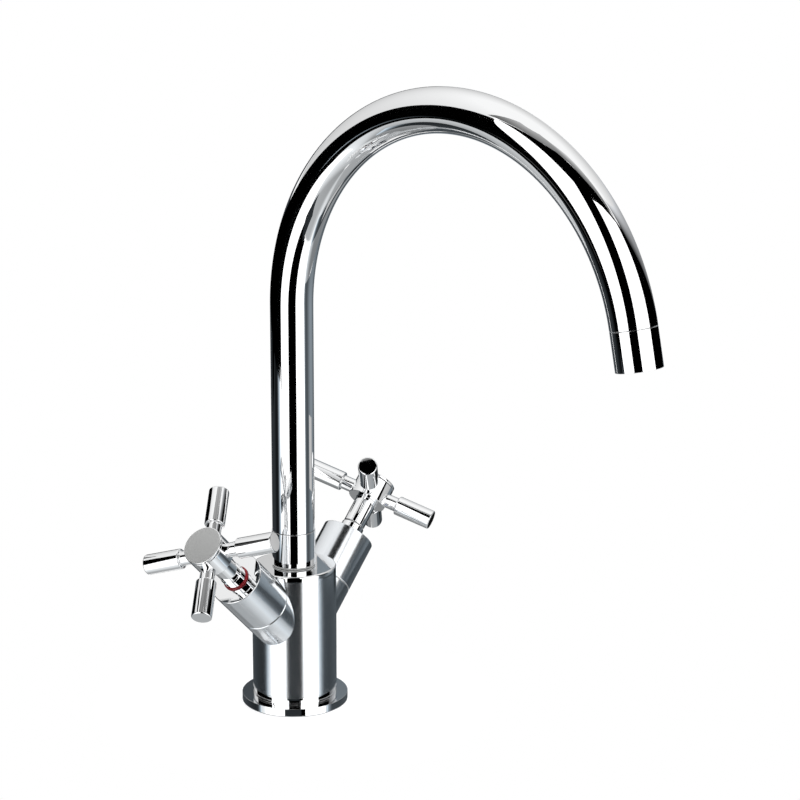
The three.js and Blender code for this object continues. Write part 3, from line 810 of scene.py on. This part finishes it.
back = Vector((
    math.sin(CAMERA_BEARING) * math.cos(CAMERA_PITCH),
    -math.cos(CAMERA_BEARING) * math.cos(CAMERA_PITCH),
    math.sin(CAMERA_PITCH),
))
across = Vector((0, 0, 1)).cross(back).normalized()
upwards = back.cross(across)
level = Matrix((across, upwards, back)).transposed().to_4x4()
camera_data = bpy.data.cameras.new("camera")
camera_data.lens = 108.158
camera_data.sensor_width = 36.0
camera_data.clip_start = 0.05
camera = bpy.data.objects.new("camera", camera_data)
camera.matrix_world = Matrix.Translation(CAMERA_PLACE) @ level @ Matrix.Rotation(CAMERA_ROLL, 4, "Z")
bpy.context.scene.collection.objects.link(camera)
bpy.context.scene.camera = camera

# %% [markdown]
# ## The studio
#
# Chrome has no colour of its own: what is seen is the studio. Round the tap stands a shell of
# curved cards, about a metre away. Two tall white boxes of light flank the camera, a black
# curtain hangs between and above them and sweeps round to both sides, and further off dull grey
# sheets fill the space below. Where there is no card, the white background shows in the metal.
# Close to the tap stand a few low grey flags, as a photographer puts them to darken the sides of
# a bright column. They are low enough for the spout to look over them.
#
# A card is described by columns. Each column has a bearing from the camera, its lowest and its
# highest place, and the tone at both. The cards are a flat grid that is bent into place, and the
# tone is a colour attribute that the card's material gives out.

# %% Where a card stands
SHELL_CENTRE = Vector((-0.010, -0.120, 0.190))
SHELL_RADIUS = 1.0
FAR_RADIUS = 3.0
GROUND_RADIUS = 3.1
FLAG_RADIUS = 0.35
TOWARDS_CAMERA = Vector((back.x, back.y, 0)).normalized()


def bearing_line(bearing):
    """The level direction at so many degrees to the right of the camera."""
    turn = math.radians(bearing)
    return TOWARDS_CAMERA * math.cos(turn) + across * math.sin(turn)


def ball_about(centre):
    """Gives the function that finds a place on a ball, at so many degrees above its centre."""
    def place(bearing, height, radius):
        rise = math.radians(height)
        line = bearing_line(bearing) * math.cos(rise) + Vector((0, 0, math.sin(rise)))
        return centre + radius * line

    return place


def round_column(bearing, height, radius):
    """A place on an upright wall round the column, at a height in metres."""
    return radius * bearing_line(bearing) + Vector((0, 0, height))


on_shell = ball_about(SHELL_CENTRE)
print("towards the camera:", [round(value, 3) for value in TOWARDS_CAMERA])


# %% How a card is made
def card_material():
    """Gives out the tone that is painted on the card, whatever light falls on it."""
    material = bpy.data.materials.new("studio_card")
    material.use_nodes = True
    tree = material.node_tree
    tree.nodes.clear()
    tone = tree.nodes.new("ShaderNodeAttribute")
    tone.attribute_name = "tone"
    glow = tree.nodes.new("ShaderNodeEmission")
    output = tree.nodes.new("ShaderNodeOutputMaterial")
    tree.links.new(tone.outputs["Color"], glow.inputs["Color"])
    tree.links.new(glow.outputs["Emission"], output.inputs["Surface"])
    return material


STEPS_ALONG = 10  # from one column to the next
STEPS_UP = 12
studio_card = card_material()


def between(first, last, share):
    """The column that stands a share of the way from the first to the last."""
    return tuple(a + (b - a) * share for a, b in zip(first, last))


def as_light(tone):
    """The light that shows on the screen as this tone, from 0 for black to 1 for white."""
    return tone / 12.92 if tone < 0.04 else ((tone + 0.055) / 1.055) ** 2.4


def black(edges):
    """Black columns from (bearing, low, high)."""
    return [(bearing, low, high, 0, 0) for bearing, low, high in edges]


def band(low, high, tones):
    """Columns of one height from (bearing, tone) or (bearing, tone at low, tone at high)."""
    return [(bearing, low, high, tone[0], tone[-1]) for bearing, *tone in tones]


def card(name, columns, place=on_shell, radius=SHELL_RADIUS, tint=(1.0, 1.0, 1.0)):
    """Makes a card from columns of (bearing, low, high, tone at low, tone at high)."""
    spans = len(columns) - 1
    bm = bmesh.new()
    bmesh.ops.create_grid(bm, x_segments=spans * STEPS_ALONG, y_segments=STEPS_UP, size=0.5)
    tones = bm.verts.layers.float_color.new("tone")
    for vert in bm.verts:
        along = (vert.co.x + 0.5) * spans
        index = min(int(along + 1e-6), spans - 1)
        column = between(columns[index], columns[index + 1], along - index)
        bearing, low, high, tone_low, tone_high = column
        rise = vert.co.y + 0.5
        light = as_light(tone_low + (tone_high - tone_low) * rise)
        vert[tones] = (light * tint[0], light * tint[1], light * tint[2], 1)
        vert.co = place(bearing, low + (high - low) * rise, radius)
    piece = to_object(name, bm)
    piece.data.materials.append(studio_card)
    piece.visible_camera = False
    piece.visible_diffuse = False
    piece.visible_shadow = False
    piece.visible_transmission = False
    return piece


# %% Boxes of light and the black curtain
BOX_TONE = 1.2
BOX_RADIUS = 1.02  # just behind the curtain
FOOT_CARD_RADIUS = 0.99  # just before it

card("left_light", band(-46, 50, [(-72, BOX_TONE), (-20, BOX_TONE)]), radius=BOX_RADIUS)
card("right_light", band(-46, 56, [(14, BOX_TONE), (74, BOX_TONE)]), radius=BOX_RADIUS)
card("black_curtain", black([
    (-168, -5, -3),
    (-140, -9, 5),
    (-120, -10, 12),
    (-105, -11, 18),
    (-90, -12, 27),
    (-71, -13, 45),
    (-71, 47, 47.5),
    (-60, 49, 57),
    (-40, 49, 66),
    (-21, 49, 71),
    (-21, -46, 71),
    (0, -46, 74),
    (15, -46, 73),
    (15, 54, 73),
    (30, 55, 71),
    (45, 54, 67),
    (60, 50, 60),
    (73, 45, 50),
    (73, -6, 48),
    (85, -5, 40),
    (95, -4, 31),
    (110, -4, 20),
    (125, -5, 9),
    (140, -6, 0),
    (150, -7, -5),
]))
card("curtain_foot", black([(-23, -45, -5), (21, -45, -5)]), radius=FOOT_CARD_RADIUS)

# %% Grey sheets above and behind
BLUISH = (0.86, 1.0, 1.12)
card("back_sheet", [
    (85, 40, 52, 0.1, 0.9),
    (95, 31, 46, 0.2, 0.9),
    (110, 20, 38, 0.25, 0.9),
    (125, 9, 30, 0.35, 0.85),
    (140, 0, 24, 0.4, 0.85),
    (155, -6, 18, 0.5, 0.85),
    (170, -6, 16, 0.65, 0.85),
    (180, -4, 16, 0.7, 0.85),
], tint=(0.98, 1.0, 1.03))
card("top_sheet", [
    (-75, 47, 80, 0.35, 0.75),
    (-60, 58, 80, 0.45, 0.75),
    (-30, 69, 84, 0.5, 0.7),
    (0, 74, 86, 0.5, 0.7),
    (30, 72, 84, 0.45, 0.7),
    (60, 60, 80, 0.45, 0.8),
    (80, 45, 74, 0.4, 0.9),
])

# %% Pale sheets, far off: behind, and on the ground
card("sky_sheet", [
    (100, 16, 62, 0.85, 1.0),
    (140, 14, 62, 0.8, 1.0),
    (180, 12, 62, 0.78, 1.0),
    (220, 6, 62, 0.8, 1.0),
    (250, 2, 62, 0.84, 1.0),
    (272, 2, 62, 0.88, 1.0),
    (288, 40, 62, 0.95, 1.0),
], radius=FAR_RADIUS)
card("ground_sheet", [
    (-180, -88, -59, 0.68, 0.68),
    (-100, -88, -59, 0.68, 0.7),
    (-82, -88, -59, 0.7, 0.9),
    (-60, -88, -50, 0.7, 1.0),
    (-40, -88, -48, 0.66, 0.95),
    (-20, -88, -47, 0.6, 0.72),
    (45, -88, -47, 0.62, 0.72),
    (62, -88, -47, 0.72, 0.85),
    (75, -88, -59, 0.78, 0.95),
    (92, -88, -59, 0.78, 0.9),
    (105, -88, -59, 0.68, 0.65),
    (180, -88, -59, 0.66, 0.66),
], radius=GROUND_RADIUS, tint=(0.97, 1.0, 1.02))

# %% Low grey sheets, far off
card("left_belt", [
    (-180, -36, 14, 0.22, 0.28),
    (-165, -36, 10, 0.25, 0.25),
    (-150, -24, 6, 0.25, 0.25),
    (-140, -22, 2, 0.19, 0.19),
    (-120, -22, 0, 0.2, 0.2),
    (-110, -22, 0, 0.17, 0.17),
    (-100, -22, 0, 0.09, 0.09),
    (-88, -22, 0, 0.1, 0.1),
    (-84, -22, 0, 0.3, 0.3),
    (-78, -22, 0, 0.65, 0.65),
    (-70, -22, 0, 0.97, 0.97),
], radius=FAR_RADIUS, tint=BLUISH)
card("left_sheet", [
    (-165, -60, -36, 0.5, 0.6),
    (-150, -60, -24, 0.5, 0.65),
    (-140, -60, -22, 0.5, 0.75),
    (-110, -60, -22, 0.5, 0.8),
    (-84, -60, -22, 0.55, 0.85),
    (-78, -60, -22, 0.8, 0.9),
    (-68, -60, -22, 1.0, 1.0),
], radius=FAR_RADIUS, tint=(0.97, 1.0, 1.02))
card("right_belt", [
    (57, -24, 0, 1.0, 1.0),
    (65, -24, 0, 0.95, 0.95),
    (72, -24, 0, 0.72, 0.72),
    (80, -24, 0, 0.36, 0.38),
    (90, -24, 0, 0.3, 0.31),
    (100, -24, 0, 0.4, 0.45),
    (112, -24, 0, 0.5, 0.58),
    (125, -26, 0, 0.5, 0.65),
    (140, -28, 2, 0.45, 0.6),
    (155, -32, 6, 0.35, 0.4),
    (168, -36, 10, 0.25, 0.28),
    (180, -36, 14, 0.22, 0.28),
], radius=FAR_RADIUS, tint=BLUISH)
card("right_sheet", [
    (72, -60, -24, 1.0, 1.0),
    (80, -60, -24, 0.95, 0.75),
    (89, -60, -24, 0.85, 0.6),
    (98, -60, -24, 0.55, 0.5),
    (125, -60, -26, 0.55, 0.5),
    (140, -60, -28, 0.6, 0.55),
    (155, -60, -32, 0.65, 0.6),
    (168, -60, -36, 0.65, 0.6),
], radius=FAR_RADIUS, tint=(0.95, 1.0, 1.04))

# %% Flags close to the column
LOW_FLAG = (-0.20, -0.03)  # its lowest and highest place, in metres: below the deck

card("left_flag", band(*LOW_FLAG, [
    (-179.5, 0.3),
    (-150, 0.28),
    (-130, 0.24),
    (-90, 0.15),
    (-83, 0.2),
    (-77, 0.6),
    (-73, 0.97),
]), place=round_column, radius=FLAG_RADIUS, tint=BLUISH)
card("middle_flag", band(*LOW_FLAG, [
    (-19, 0.2, 0.16),
    (15, 0.2, 0.16),
]), place=round_column, radius=FLAG_RADIUS, tint=BLUISH)
card("right_flag", band(*LOW_FLAG, [
    (73, 0.97),
    (78, 0.6),
    (87, 0.27),
    (110, 0.26),
    (130, 0.3),
    (150, 0.33),
    (179.5, 0.3),
]), place=round_column, radius=FLAG_RADIUS, tint=BLUISH)
card("flag_behind_left", band(0.04, 0.175, [
    (-179.8, 0.25, 0.3),
    (-160, 0.25, 0.3),
]), place=round_column, radius=FLAG_RADIUS, tint=BLUISH)
card("flag_behind_right", band(0.04, 0.27, [
    (160, 0.35, 0.6),
    (179.8, 0.35, 0.6),
]), place=round_column, radius=FLAG_RADIUS, tint=BLUISH)

# %% [markdown]
# The bright handles get their dark lines from small black flags, and one small light. Each stands
# on a ball about the middle of a handle, out of the way of what the spout shows. The right handle
# has a single flag, which darkens the end of its near arm.

# %% Flags round the handles
HANDLE_FLAG_RADIUS = 0.22


def handle_middle(name):
    """Where a handle's four arms meet."""
    return lean(name) @ Vector((0, 0, ARM_PLANE * MM))


by_left_handle = ball_about(handle_middle("hot"))
by_right_handle = ball_about(handle_middle("cold"))
card("arm_end_flag", band(-35, -19, [
    (136, 0.04, 0.1),
    (156, 0.04, 0.1),
]), place=by_right_handle, radius=HANDLE_FLAG_RADIUS)
card("handle_flag_side", black([
    (-90, 24, 33),
    (-82, 17, 33),
    (-72, 8, 31),
    (-62, 1, 22),
]), place=by_left_handle, radius=HANDLE_FLAG_RADIUS)
card("handle_flag_high", [
    (-68, 33, 44, 0.3, 0.3),
    (-54, 22, 36, 0.3, 0.3),
], place=by_left_handle, radius=HANDLE_FLAG_RADIUS)
card("handle_flag_back", black([
    (-146, 2, 20),
    (-130, 7, 31),
    (-119, 18, 36),
    (-113, 25, 37),
]), place=by_left_handle, radius=HANDLE_FLAG_RADIUS)
card("handle_flag_top", black([
    (-91, 38, 46),
    (-72, 43, 51),
]), place=by_left_handle, radius=HANDLE_FLAG_RADIUS)
card("handle_light", band(-6, 7, [
    (112, 0.8),
    (128, 0.72),
]), place=by_left_handle, radius=HANDLE_FLAG_RADIUS)

# %% [markdown]
# The background is white where the camera looks and in what the metal shows, and a plain soft
# grey for light that falls on the pieces. The floor is a round pale sheet that thins out to
# nothing a hand's breadth from the tap, so it holds the shadow and shows no edge.

# %% Background, floor and lamp
def larger(tree, first, second):
    """The larger of two values."""
    step = tree.nodes.new("ShaderNodeMath")
    step.operation = "MAXIMUM"
    tree.links.new(first, step.inputs[0])
    tree.links.new(second, step.inputs[1])
    return step.outputs[0]


def backdrop(tree, colour, strength):
    """A background of one colour."""
    sheet = tree.nodes.new("ShaderNodeBackground")
    sheet.inputs["Color"].default_value = colour
    sheet.inputs["Strength"].default_value = strength
    return sheet.outputs[0]


def white_world():
    """White to the camera and in reflections, soft grey as a light."""
    world = bpy.data.worlds.new("studio_world")
    bpy.context.scene.world = world
    world.use_nodes = True
    tree = world.node_tree
    tree.nodes.clear()
    path = tree.nodes.new("ShaderNodeLightPath").outputs
    seen = larger(tree, path["Is Camera Ray"], path["Is Glossy Ray"])
    shown = larger(tree, seen, path["Is Transmission Ray"])
    mix = tree.nodes.new("ShaderNodeMixShader")
    output = tree.nodes.new("ShaderNodeOutputWorld")
    tree.links.new(shown, mix.inputs[0])
    tree.links.new(backdrop(tree, (0.95, 0.97, 1.0, 1), 0.65), mix.inputs[1])
    tree.links.new(backdrop(tree, (1, 1, 1, 1), 1.0), mix.inputs[2])
    tree.links.new(mix.outputs[0], output.inputs["Surface"])


def floor_material():
    """A pale sheet that fades out between two distances from the tap's axis."""
    material, tree, shader = new_material("floor_sheet")
    shader.inputs["Base Color"].default_value = (0.9, 0.9, 0.9, 1)
    shader.inputs["Roughness"].default_value = 0.9
    shader.inputs["Emission Color"].default_value = (1, 1, 1, 1)
    shader.inputs["Emission Strength"].default_value = 0.45
    place = tree.nodes.new("ShaderNodeTexCoord")
    reach = tree.nodes.new("ShaderNodeVectorMath")
    reach.operation = "LENGTH"
    tree.links.new(place.outputs["Object"], reach.inputs[0])
    fade = spread(tree, reach.outputs["Value"], 0.8, 0.0, from_low=0.036, from_high=0.12)
    tree.links.new(fade, shader.inputs["Alpha"])
    return material


white_world()
FLOOR_RADIUS = 0.16
FLOOR_DROP = 0.0002  # keeps it clear of the flange's underside
floor_bm = bmesh.new()
bmesh.ops.create_circle(floor_bm, cap_ends=True, segments=96, radius=FLOOR_RADIUS)
floor = to_object("floor", placed(floor_bm, Matrix.Translation((0, 0, -FLOOR_DROP))))
floor.data.materials.append(floor_material())
floor.visible_glossy = False

lamp_data = bpy.data.lights.new("soft_lamp", "AREA")
lamp_data.shape = "DISK"
lamp_data.size = 1.2
lamp_data.energy = 12
lamp = bpy.data.objects.new("soft_lamp", lamp_data)
lamp.matrix_world = Matrix.Translation((-0.3, -0.4, 1.6))
lamp.visible_glossy = False
bpy.context.scene.collection.objects.link(lamp)
print("floor and lamp:", floor.name, lamp.name)

# %% View settings
bpy.context.scene.view_settings.view_transform = "Standard"
